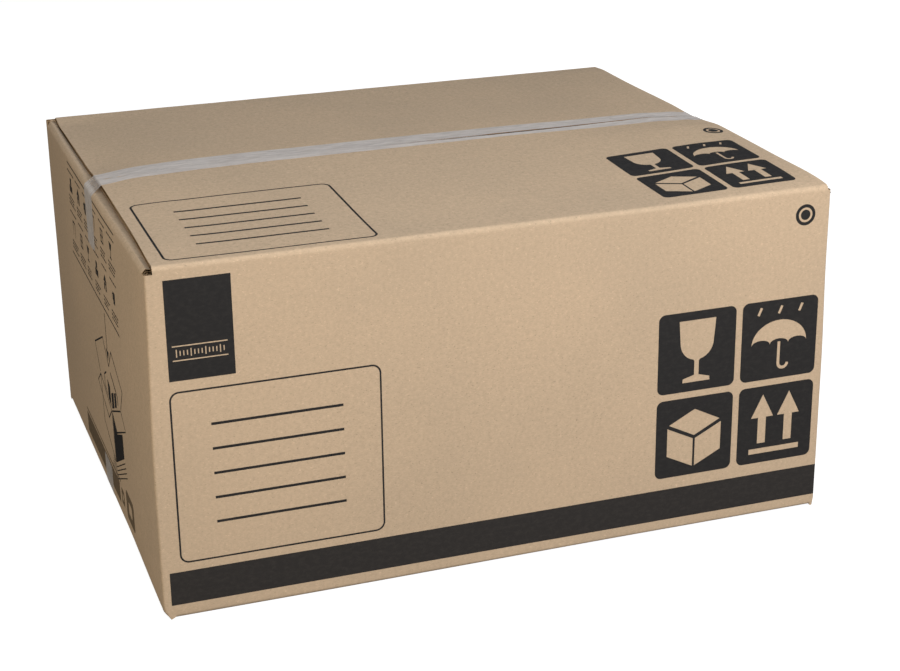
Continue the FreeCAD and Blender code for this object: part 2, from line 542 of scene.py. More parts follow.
def setSurface(owner, shader, kind="ShaderNodeOutputMaterial"):
    addNode(owner, kind, Surface=shader)


def noiseField(owner, scale, detail=3.0, roughness=0.55):
    coords = addNode(owner, "ShaderNodeTexCoord").outputs["Object"]
    scaled = addNode(owner, "ShaderNodeMapping", Vector=coords, Scale=scale).outputs["Vector"]
    field = addNode(owner, "ShaderNodeTexNoise", Vector=scaled, Scale=1.0, Detail=detail, Roughness=roughness)
    return field.outputs["Fac"]


def grey(value):
    return (value, value, value, 1.0)


def ramp(owner, value, stops):
    made = addNode(owner, "ShaderNodeValToRGB", Fac=value)
    ends = made.color_ramp.elements
    ends[0].position, ends[0].color = stops[0]
    ends[1].position, ends[1].color = stops[-1]
    for position, color in stops[1:-1]:
        ends.new(position).color = color
    return made.outputs["Color"]


def greyRamp(owner, value, stops):
    return ramp(owner, value, [(position, grey(level)) for position, level in stops])


def mixColor(owner, blend, amount, first, second):
    made = owner.node_tree.nodes.new("ShaderNodeMix")
    made.data_type = "RGBA"
    made.blend_type = blend
    for socket, value in ((0, amount), (6, first), (7, second)):
        feed(owner, made.inputs[socket], value)
    return made.outputs[2]


def mathNode(owner, operation, *values):
    made = owner.node_tree.nodes.new("ShaderNodeMath")
    made.operation = operation
    for socket, value in zip(made.inputs, values):
        feed(owner, socket, value)
    return made.outputs["Value"]


def times(owner, first, second):
    return mathNode(owner, "MULTIPLY", first, second)


def mapRange(owner, value, fromSpan, toSpan):
    made = addNode(owner, "ShaderNodeMapRange", Value=value, From_Min=fromSpan[0], From_Max=fromSpan[1],
                   To_Min=toSpan[0], To_Max=toSpan[1])
    return made.outputs["Result"]


def axesOf(owner, kind, output):
    vector = addNode(owner, kind).outputs[output]
    return addNode(owner, "ShaderNodeSeparateXYZ", Vector=vector).outputs


def bumped(owner, height, strength):
    return addNode(owner, "ShaderNodeBump", Height=height, Strength=strength, Distance=1.0).outputs["Normal"]


def makeFinish(material, look, color, normal, **more):
    rough = mapRange(material, noiseField(material, look["patches"]), (0.3, 0.7), look["roughness"])
    shader = addNode(material, "ShaderNodeBsdfPrincipled", Base_Color=color, Roughness=rough, Normal=normal,
                     Specular_IOR_Level=look["specular"], **more)
    setSurface(material, shader.outputs["BSDF"])
    return material


kraft = {
    "tone": (0.560, 0.418, 0.291),
    "warm": (0.596, 0.441, 0.304),
    "clouds": ((7, 7, 7), 2.0),
    "roughness": (0.76, 0.88),
    "patches": (60, 60, 60),
    "specular": 0.18,
    "flutePitch": 0.0075,
    "fluteShow": 0.00004,      # how far the flutes read through the liner
    "fibres": ((700, 700, 1500), 4.0, 0.00005),
    "cockle": ((90, 90, 90), 2.0, 0.00015),
    # noise scale, detail and roughness, and the greys that it multiplies the tone by
    "layers": (
        ((260, 260, 260), 4.0, 0.60, ((0.30, 0.93), (0.70, 1.06))),                 # mottle
        ((380, 380, 1500), 5.0, 0.65, ((0.32, 0.90), (0.50, 1.00), (0.70, 1.07))),  # fibres
        ((520, 520, 900), 1.0, 0.40, ((0.00, 0.76), (0.27, 0.76), (0.31, 1.00))),   # dark flecks
        ((430, 610, 800), 1.0, 0.40, ((0.69, 1.00), (0.73, 1.14))),                 # pale flecks
    ),
}


def paperRelief(material, strength=1.0):
    # fine fibre relief, with the flutes reading faintly through the liner
    place = axesOf(material, "ShaderNodeTexCoord", "Object")
    facing = axesOf(material, "ShaderNodeNewGeometry", "True Normal")
    onEnds = mathNode(material, "GREATER_THAN", mathNode(material, "ABSOLUTE", facing["X"]), 0.7)
    onSides = mathNode(material, "SUBTRACT", 1.0, onEnds)
    height = None
    for axis, share in (("Y", onEnds), ("X", onSides)):
        waves = mathNode(material, "SINE", times(material, place[axis], 2 * math.pi / kraft["flutePitch"]))
        shown = times(material, times(material, waves, share), kraft["fluteShow"])
        height = mathNode(material, "ADD", height, shown) if height else shown
    for scale, detail, deep in (kraft["fibres"], kraft["cockle"]):
        height = mathNode(material, "ADD", height, times(material, noiseField(material, scale, detail), deep))
    return bumped(material, height, strength)


def kraftPaper(name, shade):
    material = cleared(bpy.data.materials.new(name))
    tone, warm = [tuple(value * part for value, part in zip(kraft[key], shade)) + (1.0,)
                  for key in ("tone", "warm")]
    clouds = greyRamp(material, noiseField(material, *kraft["clouds"]), ((0.35, 0), (0.65, 1)))
    color = mixColor(material, "MIX", clouds, tone, warm)
    for scale, detail, roughness, stops in kraft["layers"]:
        layer = greyRamp(material, noiseField(material, scale, detail, roughness), stops)
        color = mixColor(material, "MULTIPLY", 1.0, color, layer)
    return makeFinish(material, kraft, color, paperRelief(material))


ink = {
    "black": ((0.0275, 0.0260, 0.0265, 1.0), (0.040, 0.037, 0.036, 1.0)),    # full, and worn thin
    "band": ((0.036, 0.0325, 0.0315, 1.0), (0.052, 0.046, 0.043, 1.0)),
    "brown": ((0.165, 0.120, 0.078, 1.0), (0.25, 0.182, 0.117, 1.0)),
    "worn": ((160, 160, 260), 5.0, 0.7),
    "roughness": (0.54, 0.70),
    "patches": (300, 300, 300),
    "specular": 0.08,
    "relief": 0.8,
    "lift": 0.00007,           # the slab's faces, above and below the liner
    "sink": 0.00012,
    "cell": 0.013,             # faces of the print, and closer ones round a corner fold
    "roundCell": 0.00098,
    "roundCells": 6,
    "merge": 1e-6,
    "cutSlack": 1e-7,
}


def printInk(name, full, thin):
    material = cleared(bpy.data.materials.new(name))
    worn = greyRamp(material, noiseField(material, *ink["worn"]), ((0.45, 0), (0.8, 1)))
    color = mixColor(material, "MIX", worn, full, thin)
    return makeFinish(material, ink, color, paperRelief(material, ink["relief"]))


film = {
    "milky": ((0.3, (0.785, 0.72, 0.69, 1.0)), (0.7, (0.93, 0.86, 0.82, 1.0))),
    "streaks": ((30, 160, 60), 4.0, 0.6),
    "alpha": (0.54, 0.70),     # where it sticks to the board
    "bonds": ((70, 240, 120), 3.0),
    "clearer": {"step": 0.40, "seam": 0.58},    # over the step at the ends and the parted seam
    "seamHalf": (0.0019, 0.0027),
    "seamParts": (-0.04, 0.08),
    "pastFlap": (0.2900, 0.2922),
    "beforeFold": (0.2955, 0.2975),
    "wrinkles": ((50, 420, 160), 3.0),
    "wrinkleHeight": 0.00022,
    "relief": 0.8,
    "roughness": (0.26, 0.44),
    "patches": (45, 200, 90),
    "specular": 0.5,
    "lift": 0.00006,
    "thickness": 0.00009,
    # along the seam, how far the tape lies off it
    "wander": ((-0.30, 0.0), (-0.262, 0.006), (-0.15, 0.0085), (0.1, 0.0085), (0.24, 0.002), (0.30, 0.002)),
}


def tapeFilm(name):
    material = cleared(bpy.data.materials.new(name))
    rising, falling = (0.0, 1.0), (1.0, 0.0)
    place = axesOf(material, "ShaderNodeTexCoord", "Object")
    offSeam = mathNode(material, "ABSOLUTE", place["Y"])
    fromEnd = mathNode(material, "ABSOLUTE", place["X"])
    overSeam = times(material, mapRange(material, offSeam, film["seamHalf"], falling),
                     mapRange(material, place["X"], film["seamParts"], rising))
    overStep = times(material, mapRange(material, fromEnd, film["pastFlap"], rising),
                     mapRange(material, fromEnd, film["beforeFold"], falling))
    clearing = mathNode(material, "MAXIMUM", times(material, overSeam, film["clearer"]["seam"]),
                        times(material, overStep, film["clearer"]["step"]))
    bonded = mapRange(material, noiseField(material, *film["bonds"]), (0.35, 0.65), film["alpha"])
    alpha = mathNode(material, "SUBTRACT", bonded, clearing)
    color = ramp(material, noiseField(material, *film["streaks"]), film["milky"])
    wrinkles = times(material, noiseField(material, *film["wrinkles"]), film["wrinkleHeight"])
    return makeFinish(material, film, color, bumped(material, wrinkles, film["relief"]), Alpha=alpha)


kraftFace = kraftPaper("kraftFace", (1.0, 1.0, 1.0))
# the liners' raw cut edges and the flute ends: the raw edge's own tone, made darker still as painted shade
kraftCutAndShade = kraftPaper("kraftCutAndShade", (0.86, 0.80, 0.70))
# darker kraft in the grooves between the liners: painted shade for the recess
kraftCoreShade = kraftPaper("kraftCoreShade", (0.44, 0.36, 0.26))
# near-black painted shade for the open cells where the flute channels lie in shadow
kraftShadeDeep = kraftPaper("kraftShadeDeep", (0.05, 0.04, 0.03))
blackInk = printInk("blackInk", *ink["black"])
bandInk = printInk("bandInk", *ink["band"])
# brown ink for the left end's foot strip
brownInk = printInk("brownInk", *ink["brown"])
clearTape = tapeFilm("clearTape")
print("materials made")


# The folded blank, with its cut edges open between the liners. Their grooves get painted shade, and
# near-black painted shade fills the cells in the posts' ends, the short flaps' sides and the parted seam

# where the cut edges get near-black painted shade: the posts' ends, the short flaps' sides and the parted
# seam
paintedShadeCells = {
    "below": 0.002,            # from the ends of the wall's straight run
    "above": 0.0006,
    "before": 0.2,             # not at the back corners
    "upright": 0.1,
    "sideSlack": 0.0005,
    "seamHalf": 0.003,
}


def atSeam(place):
    return abs(place.y) < paintedShadeCells["seamHalf"] and place.z > foldHeight - board


def isPaintedShade(place, facing):
    beyond = not wallLow - paintedShadeCells["below"] < place.z < wallHigh + paintedShadeCells["above"]
    shortSide = abs(abs(place.y) - halfWidth + carton["shortCut"]) < paintedShadeCells["sideSlack"]
    upright = abs(facing.z) < paintedShadeCells["upright"]
    return atSeam(place) or (beyond and place.y < paintedShadeCells["before"] and (upright or shortSide))


def makeCarton():
    sheet = foldBlank()
    edges = openEdges(sheet.faces)
    insets = sheet.insets(edges)
    count = len(sheet.outer)
    verts = list(sheet.outer)
    for point, facing, thick in zip(sheet.outer, sheet.facing, sheet.thick):
        verts.append(point - facing * thick)
    rim = {}
    liner, depth = carton["liner"], carton["openFlute"]
    for end, inward in insets.items():
        low = sheet.thick[end] - liner
        first = len(verts)
        for drop, reach in ((liner, 0), (liner, depth), (low, depth), (low, 0)):
            verts.append(sheet.outer[end] - sheet.facing[end] * drop + inward * reach)
        rim[end] = [end, first, first + 1, first + 2, first + 3, end + count]
    faces = sheet.faces + [tuple(i + count for i in reversed(face)) for face in sheet.faces]
    slots = [0] * len(faces)
    for a, b in edges:
        # cut edges in those cells take the next darker material, as painted shade
        deep = isPaintedShade((sheet.outer[a] + sheet.outer[b]) / 2, sheet.facing[a])
        for k in range(5):
            faces.append((rim[b][k], rim[a][k], rim[a][k + 1], rim[b][k + 1]))
            slots.append((1 if k in (0, 4) else 2) + deep)
    piece = showMesh("cartonBoard", verts, faces, [kraftFace, kraftCutAndShade, kraftCoreShade, kraftShadeDeep], slots)
    return piece, sheet, edges, insets


cartonBoard, blank, cutEdges, cutInsets = makeCarton()
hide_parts("carton")
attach(cartonBoard, "root")
print("carton folded:", len(cartonBoard.data.polygons), "faces")

flute = {
    "paper": 0.00032,
    "back": 0.0030,            # the core shows from just inside the cut to the end of the groove
    "front": 0.00025,
    "pitch": kraft["flutePitch"],
    "drift": 0.19,             # a cut along the flutes crosses them at a slant, over this length
    "sample": 0.0011,
    "crosses": 0.2,            # from this slant the ribbon is sampled closely
    "openCorner": 0.6,         # and it stops at corners with less room than this
}


def edgeLoop(edges):
    following = dict(edges)
    start = edges[0][0]
    loop = [start]
    while following[loop[-1]] != start:
        loop.append(following[loop[-1]])
    return loop


def closeRibbon(run, verts, faces):
    if len(run) > 2:
        first = len(verts)
        last = first + 4 * (len(run) - 1)
        for ring in run:
            verts.extend(ring)
        for a in range(first, last, 4):
            for k in range(4):
                n = (k + 1) % 4
                faces.append((a + k, a + n, a + 4 + n, a + 4 + k))
        faces.append((first + 3, first + 2, first + 1, first))
        faces.append((last, last + 1, last + 2, last + 3))
    run.clear()


def makeFlutes():
    # the wavy core paper seen in the cut edges, as ribbons that follow the blank's outline
    loop = edgeLoop(sorted(cutEdges))
    verts, faces, run = [], [], []
    front, back, half = flute["front"], flute["back"], flute["paper"] / 2
    cover = carton["liner"] + half
    phase = 0.0
    for a, b in zip(loop, loop[1:] + loop[:1]):
        start, end = blank.outer[a], blank.outer[b]
        span = (end - start).length
        if atSeam(start) or min(cutInsets[a].length, cutInsets[b].length) < flute["openCorner"]:
            closeRibbon(run, verts, faces)
            continue
        slant = abs((end - start).normalized().dot(blank.across[a]))
        rate = 2 * math.pi * (slant / flute["pitch"] + (1 - slant) / flute["drift"])
        steps = max(1, round(span / flute["sample"])) if slant > flute["crosses"] else 1
        for i in range(steps):
            t = i / steps
            point = start.lerp(end, t)
            facing = blank.facing[a].lerp(blank.facing[b], t).normalized()
            inward = cutInsets[a].lerp(cutInsets[b], t)
            middle = (blank.thick[a] + (blank.thick[b] - blank.thick[a]) * t) / 2
            centre = middle + (middle - cover) * math.sin(phase)
            run.append([point - facing * (centre + side * half) + inward * reach
                        for side, reach in ((-1, front), (1, front), (1, back), (-1, back))])
            phase += rate * span / steps
    closeRibbon(run, verts, faces)
    return showMesh("fluteEnds", verts, faces, [kraftCutAndShade])


fluteEnds = makeFlutes()
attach(fluteEnds, "root")
print("flute ends:", len(fluteEnds.data.polygons), "faces")


def closeSlab(name, outside, under, faces, material):
    # a slab between two skins that share their faces
    count = len(outside)
    shell = faces + [tuple(i + count for i in reversed(face)) for face in faces]
    shell += [(b, a, a + count, b + count) for a, b in openEdges(faces)]
    return showMesh(name, outside + under, shell, [material])


# Where print lies: panel coordinates to a place and facing on the board

cornerStart = halfLength - carton["cornerFold"]


def onFront(x, z):
    radius = carton["cornerFold"]
    if abs(x) <= cornerStart:
        return Vector((x, -halfWidth, z)), Vector((0, -1, 0))
    side = math.copysign(1, x)
    turn = (abs(x) - cornerStart) / radius
    facing = Vector((side * math.sin(turn), -math.cos(turn), 0))
    return Vector((side * cornerStart, radius - halfWidth, z)) + facing * radius, facing


def onTop(x, y):
    return Vector((x, y, topFlapZ(x, y))), topFlapFacing(x, y)


def onLeft(y, z):
    return Vector((-halfLength, y, z)), Vector((-1, 0, 0))


# Flat shapes, in millimetres on their panel

def rect(x0, y0, x1, y1):
    return [(x0, y0), (x1, y0), (x1, y1), (x0, y1)]


def bar(x0, x1, middleY, weight):
    return rect(x0, middleY - weight / 2, x1, middleY + weight / 2)


def arc(cx, cy, rx, ry, startDeg, turnDeg, steps):
    turns = [math.radians(startDeg + turnDeg * i / steps) for i in range(steps + 1)]
    return [(cx + rx * math.cos(at), cy + ry * math.sin(at)) for at in turns]


def roundedRect(x0, y0, x1, y1, radius):
    corners = ((x1 - radius, y0 + radius, -90), (x1 - radius, y1 - radius, 0),
               (x0 + radius, y1 - radius, 90), (x0 + radius, y0 + radius, 180))
    return [point for cx, cy, startDeg in corners for point in arc(cx, cy, radius, radius, startDeg, 90, 8)]


def disc(cx, cy, radius):
    return arc(cx, cy, radius, radius, 0, 360, 40)[:-1]


def stroke(points, width):
    # a bent line of even width, as one closed outline
    sides = ([], [])
    for i, (x, y) in enumerate(points):
        before = points[max(0, i - 1)]
        after = points[min(len(points) - 1, i + 1)]
        legs = [Vector((x - before[0], y - before[1])), Vector((after[0] - x, after[1] - y))]
        legs = [leg.normalized() for leg in legs if leg.length > hair]
        normal = sum((Vector((-leg.y, leg.x)) for leg in legs), Vector((0, 0))) / len(legs)
        normal *= width / 2 / max(0.3, normal.length_squared)
        sides[0].append((x + normal.x, y + normal.y))
        sides[1].append((x - normal.x, y - normal.y))
    return sides[0] + sides[1][::-1]


def moved(loops, dx, dy, scale=1.0):
    return [[(dx + x * scale, dy + y * scale) for x, y in loop] for loop in loops]


def filledMesh(name, loops):
    curve = bpy.data.curves.new(name, "CURVE")
    curve.dimensions = "2D"
    curve.fill_mode = "BOTH"
    for loop in loops:
        spline = curve.splines.new("POLY")
        spline.points.add(len(loop) - 1)
        for point, (x, y) in zip(spline.points, loop):
            point.co = (x * 0.001, y * 0.001, 0, 1)
        spline.use_cyclic_u = True
    outline = bpy.data.objects.new(name + "Outline", curve)
    filled = bpy.data.meshes.new_from_object(outline)
    sheet = bmesh.new()
    sheet.from_mesh(filled)
    bpy.data.objects.remove(outline)
    bpy.data.curves.remove(curve)
    bpy.data.meshes.remove(filled)
    bmesh.ops.remove_doubles(sheet, verts=sheet.verts, dist=ink["merge"])
    return sheet


def printPiece(name, loops, place, coat=blackInk):
    # fill the outlines, cut the faces to a grid, lay them on the board and close the slab
    sheet = filledMesh(name, loops)
    cell = ink["cell"]
    for axis, normal in enumerate((Vector((1, 0, 0)), Vector((0, 1, 0)))):
        values = [vert.co[axis] for vert in sheet.verts]
        low, high = min(values), max(values)
        cuts = [k * cell for k in range(math.ceil(low / cell), math.floor(high / cell) + 1)]
        if axis == 0:    # closer cuts where print runs round a corner fold
            rounds = [cornerStart + ink["roundCell"] * k for k in range(ink["roundCells"])]
            cuts += [at for at in rounds if at < high] + [-at for at in rounds if -at > low]
        for at in cuts:
            everything = sheet.verts[:] + sheet.edges[:] + sheet.faces[:]
            bmesh.ops.bisect_plane(sheet, geom=everything, plane_co=normal * at, plane_no=normal,
                                   dist=ink["cutSlack"])
    sheet.verts.index_update()
    sheet.faces.ensure_lookup_table()
    tops, bottoms = [], []
    for vert in sheet.verts:
        spot, facing = place(vert.co.x, vert.co.y)
        spot = settled(spot, facing)
        tops.append(spot + facing * ink["lift"])
        bottoms.append(spot - facing * ink["sink"])
    faces = [tuple(vert.index for vert in face.verts) for face in sheet.faces]
    centre = sheet.faces[0].calc_center_median()
    outward = place(centre.x, centre.y)[1]
    a, b, c = (tops[i] for i in faces[0][:3])
    if (b - a).cross(c - a).dot(outward) < 0:
        faces = [tuple(reversed(face)) for face in faces]
    sheet.free()
    piece = closeSlab(name, tops, bottoms, faces, coat)
    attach(piece, "root")


addressPlate = {
    "size": (175.0, 150.6),
    "corner": 8.0,
    "line": 1.5,
    "rules": (32.4, 142.0, 2.3),    # start, end, weight
    "heights": [33.0 + 21.55 * i for i in range(5)],
    "front": (-285.9, 49.6),
    "top": (-280.3, -239.3, 1.25),
}


def addressLoops(dx, dy, weight=1.0):
    width, height = addressPlate["size"]
    line, corner = addressPlate["line"] * weight, addressPlate["corner"]
    start, end, thick = addressPlate["rules"]
    loops = [roundedRect(0, 0, width, height, corner),
             roundedRect(line, line, width - line, height - line, corner - line)]
    loops += [bar(start, end, at, thick * weight) for at in addressPlate["heights"]]
    return moved(loops, dx, dy)


printPiece("addressFront", addressLoops(*addressPlate["front"]), onFront)
printPiece("addressTop", addressLoops(*addressPlate["top"]), onTop)

labelBlock = {
    "block": (-284.7, 209.1, -231.2, 293.2),
    "lines": (-280.8, -236.4, 226.2, 238.2, 1.0),    # start, end, low, high, weight
    "ticks": (-277.5, -239.5, 14, 0.9, 4.2, 6.6),    # first, last, count, width, short, tall
}


def labelLoops():
    x0, x1, low, high, weight = labelBlock["lines"]
    loops = [rect(*labelBlock["block"]), bar(x0, x1, low, weight), bar(x0, x1, high, weight)]
    first, last, count, width, short, tall = labelBlock["ticks"]
    for i in range(count):
        at = first + (last - first) * i / (count - 1)
        loops.append(bar(at - width / 2, at + width / 2, (low + high) / 2, short if i % 4 else tall))
    return loops


printPiece("labelBlock", labelLoops(), onFront)

baseBand = {"left": -295.1, "right": 299.4, "low": 12.8, "high": 42.4}
bandOutline = rect(baseBand["left"], baseBand["low"], baseBand["right"], baseBand["high"])
printPiece("baseBand", [bandOutline], onFront, bandInk)

# Plain handling marks, knocked out of black plates: this way up, fragile, keep dry, a carton

handling = {
    "plate": 74.0,
    "gap": 6.0,
    "corner": 6.0,
    "front": (138.0, 53.5, 1.0),
    "top": (150.0, -230.0, 0.82),
}


def arrowsUp():
    arrow = [(-4, 19), (4, 19), (4, 44), (11, 44), (0, 66), (-11, 44), (-4, 44)]
    return [rect(12, 9, 62, 14)] + moved([arrow], 24, 0) + moved([arrow], 50, 0)


def glass():
    # bowl, stem and foot as one outline, from the rim's right end round by the left
    bowl = arc(37, 46, 16, 17, 180, 180, 16)
    left = [point for point in bowl if point[0] < 34.8]
    right = [point for point in bowl if point[0] > 39.2]
    foot = [(34.8, 28), (34.8, 15), (24, 12), (24, 8.5), (50, 8.5), (50, 12), (39.2, 15), (39.2, 28)]
    return [[(54.5, 66), (19.5, 66)] + left + foot + right]


def umbrella():
    canopy = arc(37, 33, 27, 22, 0, 180, 24)
    for cx in (19, 37, 55):
        canopy += arc(cx, 33, 9, 4.5, 180, -180, 8)[1:]
    handle = [(37, 34.5), (37, 14)] + arc(41.5, 14, 4.5, 4.5, 180, 180, 8)[1:]
    drops = [stroke([(cx + 1.5, 68), (cx - 1.5, 61)], 2.4) for cx in (17, 37, 57)]
    return [canopy[:-1], stroke(handle, 2.8)] + drops


def smallCarton():
    # three faces of a closed carton, parted by lines
    return [
        [(11, 47), (36, 34.5), (36, 8), (11, 20.5)],
        [(38, 34.5), (63, 47), (63, 20.5), (38, 8)],
        [(12.5, 50), (37, 62.5), (61.5, 50), (37, 37.5)],
    ]


def handlingLoops(dx, dy, scale):
    plate, pitch = handling["plate"], handling["plate"] + handling["gap"]
    loops = []
    for i, mark in enumerate((smallCarton, arrowsUp, glass, umbrella)):
        cell = [roundedRect(0, 0, plate, plate, handling["corner"])] + mark()
        loops += moved(cell, (i % 2) * pitch, (i // 2) * pitch)
    return moved(loops, dx, dy, scale)


printPiece("handlingFront", handlingLoops(*handling["front"]), onFront)
printPiece("handlingTop", handlingLoops(*handling["top"]), onTop)

printMark = {"rings": (9.5, 6.6, 4.6), "front": (274.5, 282.0), "top": (276.0, -70.0)}


def markLoops(cx, cy):
    return [disc(cx, cy, radius) for radius in printMark["rings"]]


printPiece("printMarkFront", markLoops(*printMark["front"]), onFront)
printPiece("printMarkTop", markLoops(*printMark["top"]), onTop)
print("front and top printed")

# The left end: rules, blocks of short bars, a plain open carton and a foot strip

endPrint = {
    "rules": ((-123, 119, 294.0, 1.4), (-119, 128, 203.0, 1.4)),
    "columns": ((-121, -88), (-77, -49), (-34, -6), (13, 36), (46, 76), (86, 121)),
    "rows": ((287.5, 253.5), (247.0, 209.0)),
    "weight": 1.5,             # short bars: least length, what is added to it, space, last gap
    "least": 4.5,
    "added": 5.5,
    "space": 1.6,
    "stop": 4,
    "finer": (8, 3.4),         # three lines of finer type: first above the block's foot, spacing
    "sign": 0.72,
}


def wordLine(y0, y1, z, seed):
    # a line of small type seen as short bars of uneven length, read from the right end
    loops = []
    at = y1
    while at - endPrint["stop"] > y0:
        uneven = abs(noise.noise(Vector((seed * 1.7, at * 0.37, z * 0.11))))
        end = max(y0, at - endPrint["least"] - endPrint["added"] * uneven)
        loops.append(bar(end, at, z, endPrint["weight"]))
        at = end - endPrint["space"]
    return loops


def roomSigns():
    # small plain signs: lamp, window, shelf, cup, house, stacked boxes; 20 mm wide round 0, 0
    return [
        [[(-8, 9), (8, 9), (4, 0), (-4, 0)], rect(-1, -9, 1, 0), rect(-6, -11, 6, -9)],
        [rect(-9, -9, 9, 9), rect(-7, 1, -1, 7), rect(1, 1, 7, 7), rect(-7, -7, -1, -1), rect(1, -7, 7, -1)],
        [rect(-9, 7, 9, 9.5), rect(-9, 1, 9, 3.5), rect(-9, -5, 9, -2.5), rect(-9, -11, -6.5, 7),
         rect(6.5, -11, 9, 7)],
        [[(-8, 7), (5, 7), (3, -8), (-6, -8)], stroke([(5, 4), (9, 3), (8, -2), (4, -3)], 1.6)],
        [[(0, 11), (11, 1), (-11, 1)], rect(-8, -10, 8, 0), rect(-2, -10, 3, -3)],
        [rect(-10, -10, -0.6, -1), rect(0.6, -10, 10, -1), rect(-5, 0, 5, 9)],
    ]


def endBlocks():
    # each block: a line of type, a small sign and lines of finer type below it
    loops = [bar(*rule) for rule in endPrint["rules"]]
    first, spacing = endPrint["finer"]
    for r, (top, bottom) in enumerate(endPrint["rows"]):
        for c, (y0, y1) in enumerate(endPrint["columns"]):
            seed = 1 + c + 7 * r
            loops += wordLine(y0, y1, top - 1, seed)
            for k in range(3):
                loops += wordLine(y0 + 4 * k % 7, y1, bottom + first - spacing * k, seed + 0.3 * k)
            sign = roomSigns()[(c + 3 * r) % 6]
            loops += moved(sign, (y0 + y1) / 2 + 2, (top + bottom) / 2 + 4, endPrint["sign"])
    return loops


def openCarton():
    # a plain carton standing open with its flaps out and a few blocks in it; an arrow points in
    loops = [
        [(-43, 54), (-92, 78), (-92, 101.5), (-62, 89.5), (-43, 102)],
        stroke([(-41, 54), (8, 76), (8, 121)], 1.5),
        stroke([(-41, 54), (-41, 102)], 1.5),
        stroke([(-42, 104), (-93, 124)], 1.5),
        stroke([(-40, 104), (7, 122)], 1.5),
        stroke([(-44, 103.5), (-62, 91), (-112, 112), (-94, 124)], 1.6),
        stroke([(-40, 103.5), (-22, 90), (27, 109), (8, 122)], 1.6),
        stroke([(-94, 126), (-110, 148), (-62, 168), (-44, 148)], 1.6),
        stroke([(9, 124), (27, 147), (-21, 168), (-43, 148)], 1.6),
        [(-46, 108), (-58, 113), (-58, 128), (-46, 123)],
        [(-62, 115), (-72, 119), (-72, 133), (-62, 129)],
        [(-41, 108), (-30, 112), (-30, 131), (-41, 127)],
        stroke([(-26, 114), (-14, 119), (-14, 130), (-26, 136)], 1.6),
        stroke([(-80, 124), (-80, 132), (-50, 144)], 2.2),
        [(-43, 153), (-50, 163), (-36, 163)],
        stroke([(-43, 164), (-43, 198)], 2.0),
    ]
    for k in range(4):
        drop = 4 + 4.0 * k
        loops.append(stroke([(-95 - 2 * k, 79 - drop), (-44, 54 - drop), (-30 + 3 * k, 60 - drop)], 1.0))
    return loops


def footStrip():
    return [
        roundedRect(-122, 18, -83, 46, 5),
        roundedRect(-111, 26, -94, 38, 3),
        rect(-72, 21, -58, 36),
        rect(-68, 25, -62, 32),
        rect(-50, 17, 126, 38),
        rect(-58, 40.5, 126, 42.5),
    ]


printPiece("endBlocks", endBlocks(), onLeft)
printPiece("endCartonDrawing", openCarton(), onLeft)
printPiece("endFootStrip", footStrip(), onLeft, brownInk)
print("left end printed")

# Packing tape: a thin film pressed on the board, free where it bridges the step at the ends

taping = {
    "half": 0.0190,
    "uneven": (0.0008, 9),     # how the width varies, height and waves per metre
    "narrows": (0.002, 0.05),  # the legs narrow by this much over this run
    "torn": 0.004,             # how uneven the torn ends are
    "pucker": 0.00010,
    "across": 16,              # faces across, round the fold and over the step
    "foldSteps": 8,
    "stepSteps": 8,
    "legEnds": {"top": 0.0005, "floor": 0.001},    # how much lower the legs end than the source's
}


def wanderAt(x):
    return between(film["wander"], x)


def tapePath(legEnd, stepZ, flapZ, sign, cut):
    # stations up a leg, round the fold and over the step: x, z, facing, how far it is over the step
    fold = carton["shortFold"]
    endX = halfLength - cut
    centreX, centreZ = fold - halfLength, stepZ - sign * fold
    dx, dz = -endX - centreX, abs(flapZ - centreZ)
    bridge = math.atan2(dz, dx) - math.asin(fold / math.hypot(dx, dz))
    path = []
    legSteps = stepsFor(abs(centreZ - legEnd)) * 2
    for i in range(legSteps + 1):
        path.append((-halfLength, legEnd + (centreZ - legEnd) * i / legSteps, math.pi, 0.0))
    for i in range(1, taping["foldSteps"] + 1):
        at = math.pi / 2 - (math.pi / 2 - bridge) * i / taping["foldSteps"]
        x, z = centreX - fold * math.sin(at), centreZ + sign * fold * math.cos(at)
        path.append((x, z, at + math.pi / 2, 0.0))
    startX, startZ = path[-1][:2]
    for i in range(1, taping["stepSteps"]):
        t = i / taping["stepSteps"]
        path.append((startX + (-endX - startX) * t, startZ + (flapZ - startZ) * t, bridge + math.pi / 2, t))
    return path, endX


